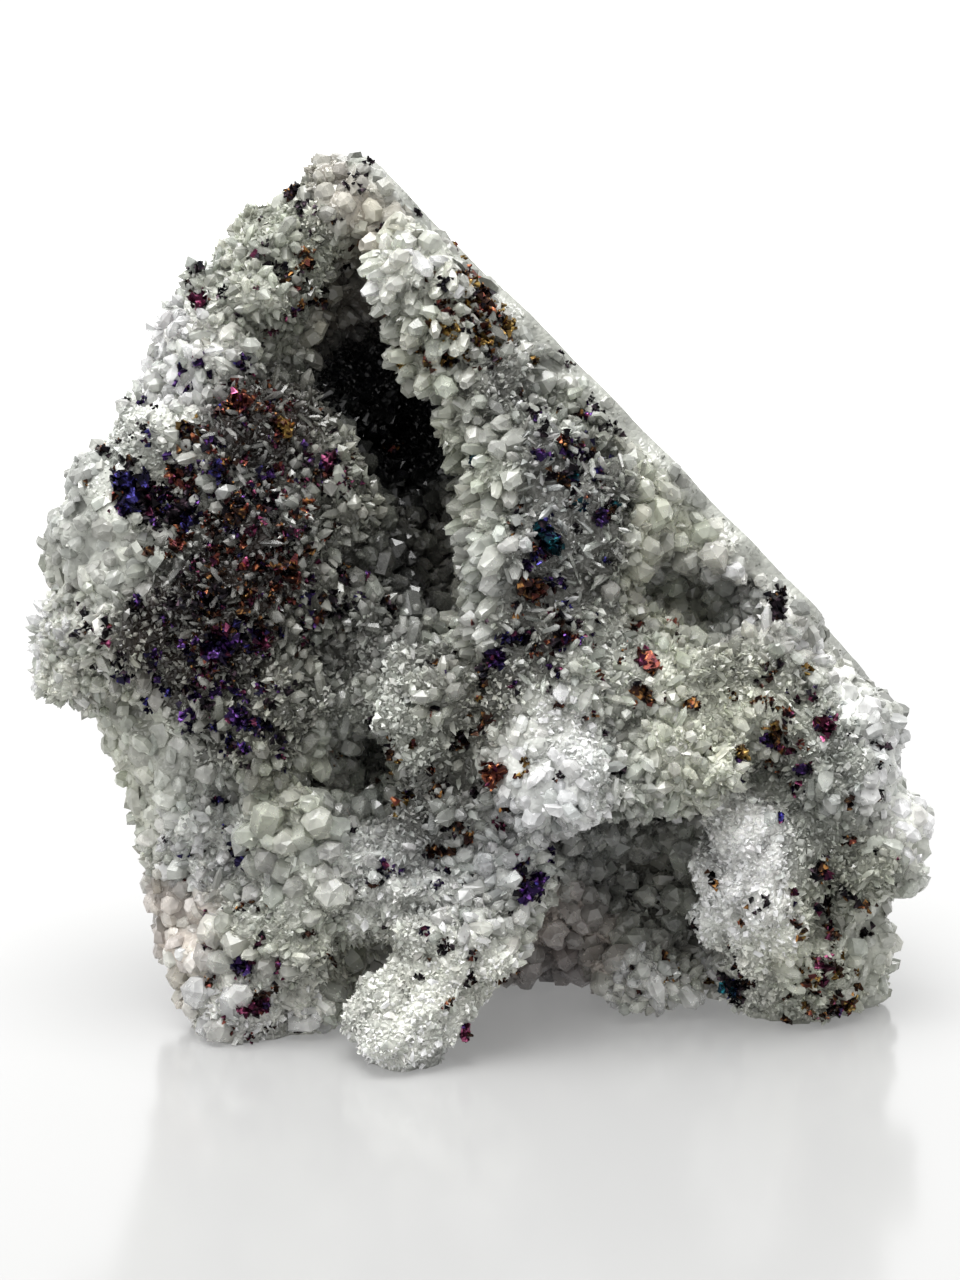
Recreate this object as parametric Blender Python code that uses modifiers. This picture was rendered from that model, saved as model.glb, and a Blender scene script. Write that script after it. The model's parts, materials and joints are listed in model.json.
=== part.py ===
"""A drusy quartz specimen with tarnished chalcopyrite crystals, standing on its own feet.

Metres, +Z up. The origin is at the middle of the base, and the crystal face looks along -Y.
The quartz is one solid: rounded lumps grown together, hollowed by vugs and sawn flat on one side.
Each chalcopyrite crystal or intergrown cluster is its own solid in a pocket of the quartz.
"""

import math
import random
from collections import namedtuple

import bmesh
import bpy
from mathutils import Euler, Matrix, Vector
from mathutils.bvhtree import BVHTree

MM = 0.001

# Driving sizes of the quartz, in millimetres
SKIN_VOXEL = 1.5
SKIN_DETAIL = 0.105
SMOOTH_ROUNDS = 6
BUMP_SIZE = 7.0
BUMP_HEIGHT = 2.6

# The sawn side: a point on it, its tilt from upright towards +X and back towards +Y, and its slab
SAW_POINT = (17.5, -5.0, 82.0)
SAW_TURN_X = 7.0
SAW_TURN_Y = 45.7
SAW_SLAB = 120.0

# The back, where the specimen was broken off its rock: a point on it, its tilt and its roughness
BREAK_POINT = (-1.0, 26.0, 40.0)
BREAK_TURN_X = -82.0
BREAK_TURN_Z = -4.0
BREAK_CUTS = 50
BREAK_ROUGH_SIZE = 16.0
BREAK_ROUGH_HEIGHT = 7.0

# The feet are worn flat where the specimen stands
FLOOR_SLAB = 200.0

# Chalcopyrite: its blunt three-sided crystals, their lift off the quartz and the pockets round them
TIP_SHARE = 0.3
HEIGHT_SHARE = 0.95
CHIP_SHARE = 0.14
LIFT_SHARE = 0.12
CLUSTER_SPREAD = 0.42
POCKET_GAP = 0.35

Lump = namedtuple("Lump", "place radii lean")
Crystal = namedtuple("Crystal", "near size members tarnish")

# Rounded growths of the quartz: centre and radii, and the lean in the picture plane in degrees
CORE = {
    "core_foot": Lump((3, 12, 24), (48, 21, 26), 0),
    "core_waist": Lump((-8, 11, 54), (40, 19, 30), 0),
    "core_neck": Lump((-15, 10, 86), (24, 14, 23), 0),
    "core_flank": Lump((29, 13, 34), (26, 20, 29), 0),
    "core_hip": Lump((-11, 14, 40), (38, 19, 22), 0),
    "core_back": Lump((-13, 13, 71), (29, 17, 22), 0),
    "core_side": Lump((13, 13, 56), (27, 18, 22), 0),
}

LEFT_RIDGE = {
    "crown": Lump((-18, 4, 106), (8.5, 10, 8), 0),
    "crown_shoulder": Lump((-27, 2, 99), (8, 9, 8), 0),
    "upper_knob": Lump((-32.3, 0, 94), (6.5, 9, 7), 0),
    "upper_flank": Lump((-36.3, -1, 86), (8, 10, 9), 0),
    "ledge": Lump((-41.5, -3, 78.5), (7, 10, 7), 0),
    "temple": Lump((-46.3, -5, 68.5), (9, 12, 10), 0),
    "wing": Lump((-51, -2, 60), (7, 10, 11), 0),
    "wing_low": Lump((-52, -5, 49), (8, 9, 7), 0),
    "cheek": Lump((-44, -11, 56), (9, 9, 10), 0),
    "flank_left": Lump((-42, -1, 38), (9, 12, 9), 0),
    "hip_left": Lump((-38, -2, 26), (9, 13, 10), 0),
    "shin_left": Lump((-35, -5, 13), (9, 12, 10), 0),
    "foot_left": Lump((-32, -12.5, 5), (8.5, 8.5, 7.5), 0),
    "toe_left": Lump((-23, -11, 5), (7, 7, 6), 0),
}

LEFT_FACE = {
    "brow": Lump((-31, -8, 76), (11, 10, 10), 0),
    "face_left": Lump((-31, -11, 62), (14, 10, 13), 0),
    "face_left_mid": Lump((-31, -10, 53), (13, 10, 9), 0),
    "face_left_low": Lump((-29, -10, 45), (14, 10, 11), 0),
    "fringe_upper": Lump((-19, -8, 70), (6, 9, 11), 0),
    "fringe_low": Lump((-14, -9, 57), (6, 8, 8), 0),
    "column_left": Lump((-23, -13, 28), (9, 9, 9), 0),
    "column_low": Lump((-25, -12, 15), (10, 10, 9), 0),
    "ridge_low": Lump((-13, -14, 22), (9, 9, 9), 0),
}

CENTRE = {
    "hanging_knob": Lump((-7, -6, 94), (7, 9, 12), -15),
    "hanging_tip": Lump((-1, -7, 84), (7, 8, 7), 0),
    "saw_shoulder": Lump((4, 7, 89), (9, 16, 11), 0),
    "saw_bridge": Lump((13, 7, 80), (9, 17, 11), 0),
    "rib_top": Lump((5, -9, 76), (8, 10, 8), 0),
    "rib_mid": Lump((4, -11, 64), (8.5, 11, 10), 0),
    "rib_right": Lump((14, -10, 66), (8, 9, 11), 0),
    "rib_low": Lump((7, -13, 52), (11, 11, 9), 0),
    "rib_foot": Lump((8, -14, 44), (12, 11, 8), 0),
    "slope_right": Lump((23, -11, 47), (10, 10, 9), 0),
    "saddle": Lump((-7, -15, 45), (9, 9, 9), 0),
    "belly": Lump((11, -18, 37), (12, 10, 7), 0),
    "belly_right": Lump((25, -15, 38), (10, 9, 7), 0),
    "belly_left": Lump((-5, -14, 32), (8, 8, 8), 0),
}

RIGHT_SIDE = {
    "rim_upper": Lump((22, 7, 71), (9, 18, 11), 0),
    "rim_mid": Lump((32, 5, 62), (8, 16, 9), 0),
    "rim_low": Lump((38, 1, 53), (8, 14, 8), 0),
    "flank_right_upper": Lump((35, -7, 44), (11, 11, 9), 0),
    "flank_right": Lump((44.8, -5, 36.5), (11, 14, 11), 0),
    "flank_right_low": Lump((50, -4, 24), (9.5, 13, 10), 0),
    "shin_right": Lump((35.5, -13.5, 21), (8.5, 8, 12.5), 0),
    "foot_right": Lump((41, -7, 6.5), (10, 9, 8), 0),
    "heel_right": Lump((50, -4, 8), (6, 8, 7), 0),
}

FEET = {
    "finger_root": Lump((3, -17, 22), (7, 8, 7), 0),
    "finger_mid": Lump((-3, -20, 15), (8, 8, 8), 0),
    "finger_tip": Lump((-10, -23.5, 5.5), (8.5, 7.5, 7), 0),
    "pebble": Lump((22, -5, 5), (8, 8, 5), 0),
}

# Vugs and gullies that open towards the front, and the arch under the specimen
HOLLOWS = {
    "chimney": Lump((-16, -1, 91), (5.5, 13, 12), 0),
    "grotto": Lump((-10, -3, 78), (7.5, 17, 9.5), 0),
    "gully": Lump((-6, -9, 62), (4, 9, 12), 0),
    "valley_right": Lump((28, -10, 57), (8, 11, 5.5), 25),
    "recess_left": Lump((-16, -17, 36), (8, 8, 6.5), 0),
    "grotto_low": Lump((20.5, -11, 19), (9, 12, 8), 0),
    "arch": Lump((13, -1, -1), (12, 34, 4), 0),
    "gap_left": Lump((-16, -13, 0.5), (3.5, 12, 4), 0),
}

# Tarnish colours of the chalcopyrite
TARNISH = {
    "blue": (0.05, 0.06, 0.35),
    "violet": (0.17, 0.06, 0.32),
    "magenta": (0.42, 0.05, 0.16),
    "copper": (0.55, 0.17, 0.08),
    "bronze": (0.25, 0.13, 0.07),
    "gold": (0.55, 0.36, 0.11),
    "teal": (0.04, 0.22, 0.27),
    "black": (0.04, 0.035, 0.05),
}

# The larger crystals and clusters: the point they grow near, their size and how many are intergrown
CRYSTALS = {
    "blue_temple": Crystal((-44.5, -15, 73), 3.5, 4, "blue"),
    "black_ledge": Crystal((-38.5, -17, 70), 2.6, 3, "black"),
    "copper_temple": Crystal((-38.5, -18, 66), 1.9, 1, "copper"),
    "black_crown": Crystal((-24.5, 0, 109), 2.0, 2, "black"),
    "magenta_shoulder": Crystal((-36, -5, 95.5), 2.5, 2, "magenta"),
    "copper_brow": Crystal((-30.5, -14, 83.5), 2.6, 2, "copper"),
    "gold_brow": Crystal((-25, -15, 81), 2.2, 2, "gold"),
    "magenta_fringe": Crystal((-19.5, -15, 76.5), 2.6, 2, "magenta"),
    "blue_face": Crystal((-33.5, -17.5, 76), 2.2, 2, "blue"),
    "copper_face": Crystal((-30, -20, 66.5), 1.8, 1, "copper"),
    "violet_face": Crystal((-33, -20, 53.5), 2.8, 3, "violet"),
    "violet_jaw": Crystal((-31.5, -19.5, 44.5), 2.4, 2, "violet"),
    "bronze_saw_edge": Crystal((-0.5, -7, 96), 2.6, 3, "bronze"),
    "gold_saw_edge": Crystal((3, -8, 92.5), 2.1, 2, "gold"),
    "violet_rib": Crystal((7, -18, 77.5), 2.0, 2, "violet"),
    "teal_rib": Crystal((11, -16.5, 74.5), 2.0, 2, "teal"),
    "blue_rib": Crystal((8, -20, 67.5), 3.0, 3, "teal"),
    "violet_rib_side": Crystal((14.5, -18, 70), 2.2, 2, "violet"),
    "bronze_rib": Crystal((6, -20.5, 61), 2.8, 3, "bronze"),
    "violet_rib_foot": Crystal((1.5, -22, 53), 2.4, 2, "violet"),
    "magenta_valley": Crystal((20.5, -11, 61.5), 2.2, 2, "magenta"),
    "copper_slope": Crystal((21, -19.5, 51.5), 2.8, 2, "copper"),
    "bronze_slope": Crystal((20.5, -20, 47), 2.4, 2, "bronze"),
    "bronze_slope_side": Crystal((26, -20, 46), 2.0, 2, "bronze"),
    "copper_belly": Crystal((1.5, -23, 38), 3.1, 2, "copper"),
    "gold_flank": Crystal((32, -19.5, 39.5), 2.2, 2, "gold"),
    "bronze_flank": Crystal((37.5, -17, 41), 2.2, 2, "bronze"),
    "magenta_flank": Crystal((43.5, -16, 42.5), 2.4, 2, "magenta"),
    "violet_flank": Crystal((40, -18, 37), 2.0, 2, "violet"),
    "black_rim": Crystal((38, -11, 57), 2.6, 3, "black"),
    "blue_flank": Crystal((38, -18, 30.5), 1.9, 1, "blue"),
    "magenta_shin": Crystal((44.5, -16.5, 22.5), 2.0, 1, "magenta"),
    "violet_finger": Crystal((6, -23.5, 23), 3.0, 3, "violet"),
    "magenta_fingertip": Crystal((-3.5, -26, 4.5), 2.4, 2, "magenta"),
    "blue_column": Crystal((-31, -14, 25), 2.8, 3, "blue"),
    "magenta_column": Crystal((-36, -16.5, 13), 1.9, 1, "magenta"),
    "violet_column": Crystal((-31.5, -18.5, 10.5), 2.4, 2, "violet"),
    "magenta_foot": Crystal((-29.5, -20, 5.5), 2.6, 3, "magenta"),
    "gold_foot": Crystal((47.5, -10, 4), 2.4, 2, "gold"),
    "teal_heel": Crystal((33.5, -11, 5.5), 2.6, 2, "teal"),
}


def clear_scene():
    for thing in list(bpy.data.objects):
        bpy.data.objects.remove(thing)


def collection(name):
    made = bpy.data.collections.new(name)
    bpy.context.scene.collection.children.link(made)
    return made


def material(name, colour, roughness, metallic):
    made = bpy.data.materials.new(name)
    made.use_nodes = True
    shader = made.node_tree.nodes["Principled BSDF"]
    shader.inputs["Base Color"].default_value = (*colour, 1.0)
    shader.inputs["Roughness"].default_value = roughness
    shader.inputs["Metallic"].default_value = metallic
    return made


def add_object(name, mesh, home, finish=None):
    made = bpy.data.objects.new(name, mesh)
    home.objects.link(made)
    if finish is not None:
        mesh.materials.append(finish)
    return made


def as_cutter(thing):
    thing.hide_render = True
    thing.display_type = "WIRE"
    return thing


def to_mesh(shell, name):
    mesh = bpy.data.meshes.new(name)
    shell.to_mesh(mesh)
    shell.free()
    return mesh


def lump_mesh(name, groups, subdivisions):
    """One mesh holding an ellipsoid for each lump."""
    shell = bmesh.new()
    for group in groups:
        for lump in group.values():
            place = Matrix.Translation(Vector(lump.place) * MM)
            lean = Matrix.Rotation(math.radians(lump.lean), 4, "Y")
            radii = Matrix.Diagonal((*(r * MM for r in lump.radii), 1.0))
            bmesh.ops.create_icosphere(
                shell, subdivisions=subdivisions, radius=1.0, matrix=place @ lean @ radii
            )
    return to_mesh(shell, name)


def add_remesh(thing, name, voxel):
    grown = thing.modifiers.new(name, "REMESH")
    grown.mode = "VOXEL"
    grown.voxel_size = voxel * MM


def add_bumps(thing, name, size, height, kind="SOFT_NOISE"):
    clouds = bpy.data.textures.new(name, "CLOUDS")
    clouds.noise_type = kind
    clouds.noise_scale = size * MM
    bumps = thing.modifiers.new(name, "DISPLACE")
    bumps.texture = clouds
    bumps.strength = height * MM
    bumps.mid_level = 0.5


def add_boolean(thing, name, other, operation="DIFFERENCE"):
    cut = thing.modifiers.new(name, "BOOLEAN")
    cut.operation = operation
    cut.object = other
    return cut


def slab(name, size, home, cuts=0):
    """A cube whose -Z face is at its origin, so that it cuts away what lies above that face."""
    block = bmesh.new()
    bmesh.ops.create_cube(block, size=size * MM, matrix=Matrix.Translation((0, 0, size * MM / 2)))
    if cuts:
        bmesh.ops.subdivide_edges(block, edges=block.edges[:], cuts=cuts, use_grid_fill=True)
    return as_cutter(add_object(name, to_mesh(block, name), home))


def broken_back(tools):
    back = slab("broken_back", SAW_SLAB * 2, tools, BREAK_CUTS)
    back.location = Vector(BREAK_POINT) * MM
    back.rotation_euler = Euler((math.radians(BREAK_TURN_X), 0, math.radians(BREAK_TURN_Z)))
    add_bumps(back, "Rough break", BREAK_ROUGH_SIZE, BREAK_ROUGH_HEIGHT, "HARD_NOISE")
    return back


def quartz(home, tools, finish):
    """The druse as one solid: lumps grown together, hollowed, sawn on one side and worn flat below."""
    growths = (CORE, LEFT_RIDGE, LEFT_FACE, CENTRE, RIGHT_SIDE, FEET)
    body = add_object("quartz_druse", lump_mesh("quartz_druse", growths, 3), home, finish)
    vugs = as_cutter(add_object("vugs", lump_mesh("vugs", (HOLLOWS,), 3), tools))
    add_remesh(vugs, "Grown together", SKIN_VOXEL)

    add_remesh(body, "Grown together", SKIN_VOXEL)
    add_boolean(body, "Vugs", vugs)
    soft = body.modifiers.new("Rounded growth", "SMOOTH")
    soft.iterations = SMOOTH_ROUNDS
    add_bumps(body, "Growth bumps", BUMP_SIZE, BUMP_HEIGHT)
    add_boolean(body, "Broken back", broken_back(tools))
    add_remesh(body, "Even skin", SKIN_VOXEL)
    coarse = body.modifiers.new("Facets", "DECIMATE")
    coarse.ratio = SKIN_DETAIL
    coarse.use_collapse_triangulate = True

    saw = slab("saw_cut", SAW_SLAB, tools)
    saw.location = Vector(SAW_POINT) * MM
    saw.rotation_euler = Euler((math.radians(-SAW_TURN_X), math.radians(SAW_TURN_Y), 0))
    add_boolean(body, "Sawn side", saw)
    floor = slab("floor_cut", FLOOR_SLAB, tools)
    floor.rotation_euler = Euler((math.pi, 0, 0))
    add_boolean(body, "Worn feet", floor)
    return body


def add_sphenoid(shell, size, at, turn):
    """A blunt three-sided chalcopyrite crystal, chipped at its corners."""
    made = bmesh.ops.create_cone(
        shell,
        cap_ends=True,
        segments=3,
        radius1=size * MM / 2,
        radius2=size * TIP_SHARE * MM / 2,
        depth=size * HEIGHT_SHARE * MM,
        matrix=Matrix.Translation(at) @ turn.to_matrix().to_4x4(),
    )
    wide_end = sorted(made["verts"], key=lambda corner: -(corner.co - at).length)[:3]
    bmesh.ops.bevel(
        shell, geom=wide_end, offset=size * CHIP_SHARE * MM, segments=1, affect="VERTICES"
    )


def random_turn(chance):
    return Euler([chance.uniform(-math.pi, math.pi) for axis in range(3)])


def add_crystal(name, crystal, skin, homes, finish):
    """One crystal or cluster on the quartz skin; returns the corners that its pocket has to clear."""
    home, tools = homes
    chance = random.Random(name)
    place, outward, face, distance = skin.find_nearest(Vector(crystal.near) * MM)
    heart = place + outward * crystal.size * LIFT_SHARE * MM
    first = bmesh.new()
    add_sphenoid(first, crystal.size, heart, random_turn(chance))
    corners = [corner.co.copy() for corner in first.verts]
    thing = add_object(name, to_mesh(first, name), home, finish)
    if crystal.members > 1:
        rest = bmesh.new()
        side = outward.orthogonal().normalized()
        step = 2 * math.pi / (crystal.members - 1)
        start = chance.uniform(0, step)
        for member in range(crystal.members - 1):
            around = Matrix.Rotation(start + step * member, 3, outward)
            offset = around @ side * crystal.size * CLUSTER_SPREAD * MM
            size = crystal.size * chance.uniform(0.7, 0.9)
            add_sphenoid(rest, size, heart + offset, random_turn(chance))
        corners += [corner.co.copy() for corner in rest.verts]
        others = as_cutter(add_object(name + "_others", to_mesh(rest, name + "_others"), tools))
        joined = add_boolean(thing, "Intergrown", others, "UNION")
        joined.use_self = True
    return corners


def add_pocket(shell, corners):
    """A hull round one crystal, grown by the pocket gap."""
    heart = sum(corners, Vector()) / len(corners)
    grown = [corner + (corner - heart).normalized() * POCKET_GAP * 2 * MM for corner in corners]
    added = [shell.verts.new(corner) for corner in grown]
    hull = bmesh.ops.convex_hull(shell, input=added)
    loose = [item for item in hull["geom_interior"] if isinstance(item, bmesh.types.BMVert)]
    bmesh.ops.delete(shell, geom=loose, context="VERTS")


def chalcopyrite(body, home, tools):
    """Every named crystal, and the pockets in the quartz that hold them."""
    finishes = {}
    for tarnish, colour in TARNISH.items():
        finishes[tarnish] = material("chalcopyrite " + tarnish, colour, 0.3, 0.85)
    skin = BVHTree.FromObject(body, bpy.context.evaluated_depsgraph_get())
    pockets = bmesh.new()
    for name, crystal in CRYSTALS.items():
        finish = finishes[crystal.tarnish]
        corners = add_crystal("chalcopyrite_" + name, crystal, skin, (home, tools), finish)
        add_pocket(pockets, corners)
    holes = as_cutter(add_object("pockets", to_mesh(pockets, "pockets"), tools))
    add_boolean(body, "Crystal pockets", holes)


def main():
    clear_scene()
    specimen = collection("Chalcopyrite specimen")
    tools = collection("Cutters")
    milky = material("milky quartz", (0.62, 0.66, 0.63), 0.3, 0.0)
    body = quartz(specimen, tools, milky)
    chalcopyrite(body, specimen, tools)


main()
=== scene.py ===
"""The looks of a drusy quartz specimen set with tarnished chalcopyrite crystals.

Metres, +Z up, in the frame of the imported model. The crystal face looks along -Y.
"""

import json
import math
from collections import namedtuple

import bpy
import numpy as np
from bpy.props import FloatProperty, FloatVectorProperty, IntProperty, PointerProperty
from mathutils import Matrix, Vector, noise
from mathutils.bvhtree import BVHTree


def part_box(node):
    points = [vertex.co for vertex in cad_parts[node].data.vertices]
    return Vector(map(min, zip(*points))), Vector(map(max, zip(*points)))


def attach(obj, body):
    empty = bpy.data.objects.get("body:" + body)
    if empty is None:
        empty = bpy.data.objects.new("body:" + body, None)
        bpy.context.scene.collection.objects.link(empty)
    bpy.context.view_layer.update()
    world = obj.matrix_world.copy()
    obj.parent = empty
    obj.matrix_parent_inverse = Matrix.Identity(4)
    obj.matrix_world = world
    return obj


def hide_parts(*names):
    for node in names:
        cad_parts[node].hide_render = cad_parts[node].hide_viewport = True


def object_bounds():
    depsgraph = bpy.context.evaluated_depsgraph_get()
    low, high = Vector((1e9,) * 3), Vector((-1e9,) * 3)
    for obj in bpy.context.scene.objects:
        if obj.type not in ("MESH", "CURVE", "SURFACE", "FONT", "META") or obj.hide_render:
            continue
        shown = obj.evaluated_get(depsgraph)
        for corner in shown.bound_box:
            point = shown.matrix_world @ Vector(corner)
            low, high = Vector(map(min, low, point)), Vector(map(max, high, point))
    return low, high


bl_info = {
    "name": "Drusy Quartz with Chalcopyrite",
    "version": (1, 0, 0),
    "blender": (4, 5, 0),
    "location": "3D View > Sidebar > Specimen",
    "description": "Grows the crystals of a quartz and chalcopyrite specimen on its solid frame",
    "category": "Add Mesh",
}

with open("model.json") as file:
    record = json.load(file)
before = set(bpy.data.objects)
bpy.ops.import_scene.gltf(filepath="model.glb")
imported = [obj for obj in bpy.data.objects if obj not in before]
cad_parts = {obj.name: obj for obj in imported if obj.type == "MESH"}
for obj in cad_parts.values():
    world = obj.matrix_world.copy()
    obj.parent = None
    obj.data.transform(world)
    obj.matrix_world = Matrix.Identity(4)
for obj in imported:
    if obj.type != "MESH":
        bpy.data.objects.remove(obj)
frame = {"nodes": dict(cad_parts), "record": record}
CAD_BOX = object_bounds()
QUARTZ_NODE = "quartz_druse"
MM = 0.001

# The sawn side: a point on it and its outward normal
SAW_POINT = np.array((17.5, -5.0, 82.0)) * MM
SAW_NORMAL = np.array((0.7104, 0.1219, 0.6932))

# The strip beside the sawn side: its width, and its tone in shares of milk
SAW_STRIP, SAW_STRIP_TONE = 3 * MM, 0.52

# How far a zone's tone reaches, and how ragged the borders between habits are
ZONE_REACH = 4.5 * MM
BORDER_WOBBLE = 1.2 * MM

# Where the unseen back begins along Y, and the depth over which it takes over
BACK_START, BACK_FADE = 12 * MM, 8 * MM

# Cells a metre of the noise in the stains and breaks of the back, in the warmer patches, in the
# mottle of tone and painted shade, and in the patches of another habit
STAIN_SCALE, BREAK_SCALE, WARM_SCALE, SHADE_SCALE, PATCH_SCALE = 75, 60, 55, 150, 160

# Change of red, green and blue in the warmer patches of quartz
WARM_SHIFT = (0.015, 0.01, -0.075)

# How far the tips of crystals may stand past the CAD box
TIP_ALLOWANCE = np.array((2.0, 1.5, 2.0)) * MM

# The way that hanging crystals are drawn to
HANG_WAY = np.array((-0.6, -0.3, -0.75))

# Clear quartz: its index of refraction, and the colour and density of its absorption
QUARTZ_IOR = 1.544
CLEAR_COLOUR, CLEAR_DENSITY = (0.80, 0.86, 0.82, 1), 40

# The camera of the photograph: what it looks at, how far away and how far above it is, its lens
CAMERA_TARGET = (-0.0005, -0.005, 0.0511)
CAMERA_DISTANCE = 0.3285
CAMERA_TILT = math.radians(12)
CAMERA_LENS = 70
TABLE_HALF = 6.0


def named(kind, rows):
    return {name: kind(*row) for name, row in rows.items()}


# Tones of the quartz: of its crystals, and of the ground between them, which is kept darker as
# painted shade in the gaps between crystals
Tone = namedtuple("Tone", "crystal ground")
TONES = named(Tone, {
    "snow": ((0.95, 0.955, 0.91), (0.80, 0.80, 0.745)),
    "frost": ((0.88, 0.89, 0.84), (0.66, 0.67, 0.615)),
    "milk": ((0.73, 0.745, 0.675), (0.48, 0.49, 0.43)),
    "grey_green": ((0.64, 0.655, 0.585), (0.28, 0.29, 0.245)),
    "smoke": ((0.52, 0.525, 0.48), (0.12, 0.12, 0.105)),
    # Dark crystals over a near-black ground: partly their own colour, partly painted shade on faces
    # turned from the light and in the gaps
    "soot": ((0.42, 0.415, 0.385), (0.024, 0.018, 0.015)),
    "glassy": ((0.74, 0.75, 0.70), (0.13, 0.13, 0.115)),
    # Near-black crystals and ground, painted into hollows that lie in shadow
    "night": ((0.03, 0.032, 0.032), (0.006, 0.006, 0.006)),
    "dull": ((0.55, 0.56, 0.505), (0.42, 0.43, 0.38)),
    "olive": ((0.84, 0.85, 0.73), (0.52, 0.53, 0.43)),
    "umber": ((0.48, 0.455, 0.395), (0.25, 0.225, 0.185)),
    "stain": ((0.50, 0.46, 0.38), (0.25, 0.21, 0.16)),
    "blush": ((0.74, 0.69, 0.64), (0.52, 0.46, 0.41)),
})

# A habit of growth, in millimetres: spacing, radius and length of its large crystals, small ones
# for each face of the skin and their radius and length, how far all lean from upright, the share
# of their length below the skin, how much painted shade darkens their roots, how clear they are,
# and how far they hang down and to the left
Habit = namedtuple(
    "Habit",
    "spacing radius length small_share small_radius small_length lean sunk depth clear hang",
    defaults=(0,),
)
HABITS = named(Habit, {
    "glaze": (1.25, (0.3, 0.7), (1.0, 1.9), 2.2, (0.18, 0.36), (0.6, 1.2), 0.7, 0.5, 0.2, 0.1),
    "sugar": (1.2, (0.3, 0.62), (1.3, 2.3), 1.6, (0.17, 0.34), (0.8, 1.5), 0.6, 0.38, 0.6, 0.35),
    "points": (1.3, (0.5, 1.0), (2.0, 3.5), 1.0, (0.22, 0.42), (1.1, 2.0), 0.5, 0.34, 0.7, 0.55),
    "stubby": (1.35, (0.6, 1.4), (2.4, 4.4), 0.6, (0.3, 0.55), (1.4, 2.5), 0.5, 0.42, 0.5, 0.6),
    "blocky": (1.8, (0.9, 2.1), (2.8, 4.8), 0.7, (0.4, 0.75), (1.6, 2.8), 0.45, 0.42, 0.4, 0.65),
    "rice": (1.2, (0.26, 0.5), (2.0, 3.8), 0.9, (0.17, 0.3), (0.9, 1.7), 0.8, 0.34, 1.0, 0.6),
    "scales": (
        1.55, (0.8, 1.6), (3.0, 5.0), 0.5, (0.35, 0.6), (1.6, 2.8), 0.25, 0.42, 0.5, 0.6, 0.7
    ),
    "large": (2.5, (1.3, 2.4), (3.0, 5.0), 0.45, (0.45, 0.85), (1.6, 2.8), 0.4, 0.5, 0.4, 0.62),
    "massive": (1.9, (0.8, 2.0), (0.8, 1.9), 0.5, (0.25, 0.5), (0.5, 1.0), 0.6, 0.7, 0.1, 0.2),
    "broken": (1.7, (0.5, 1.5), (0.9, 2.4), 0.9, (0.2, 0.6), (0.5, 1.3), 1.2, 0.6, 0.3, 0.15),
})

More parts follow.
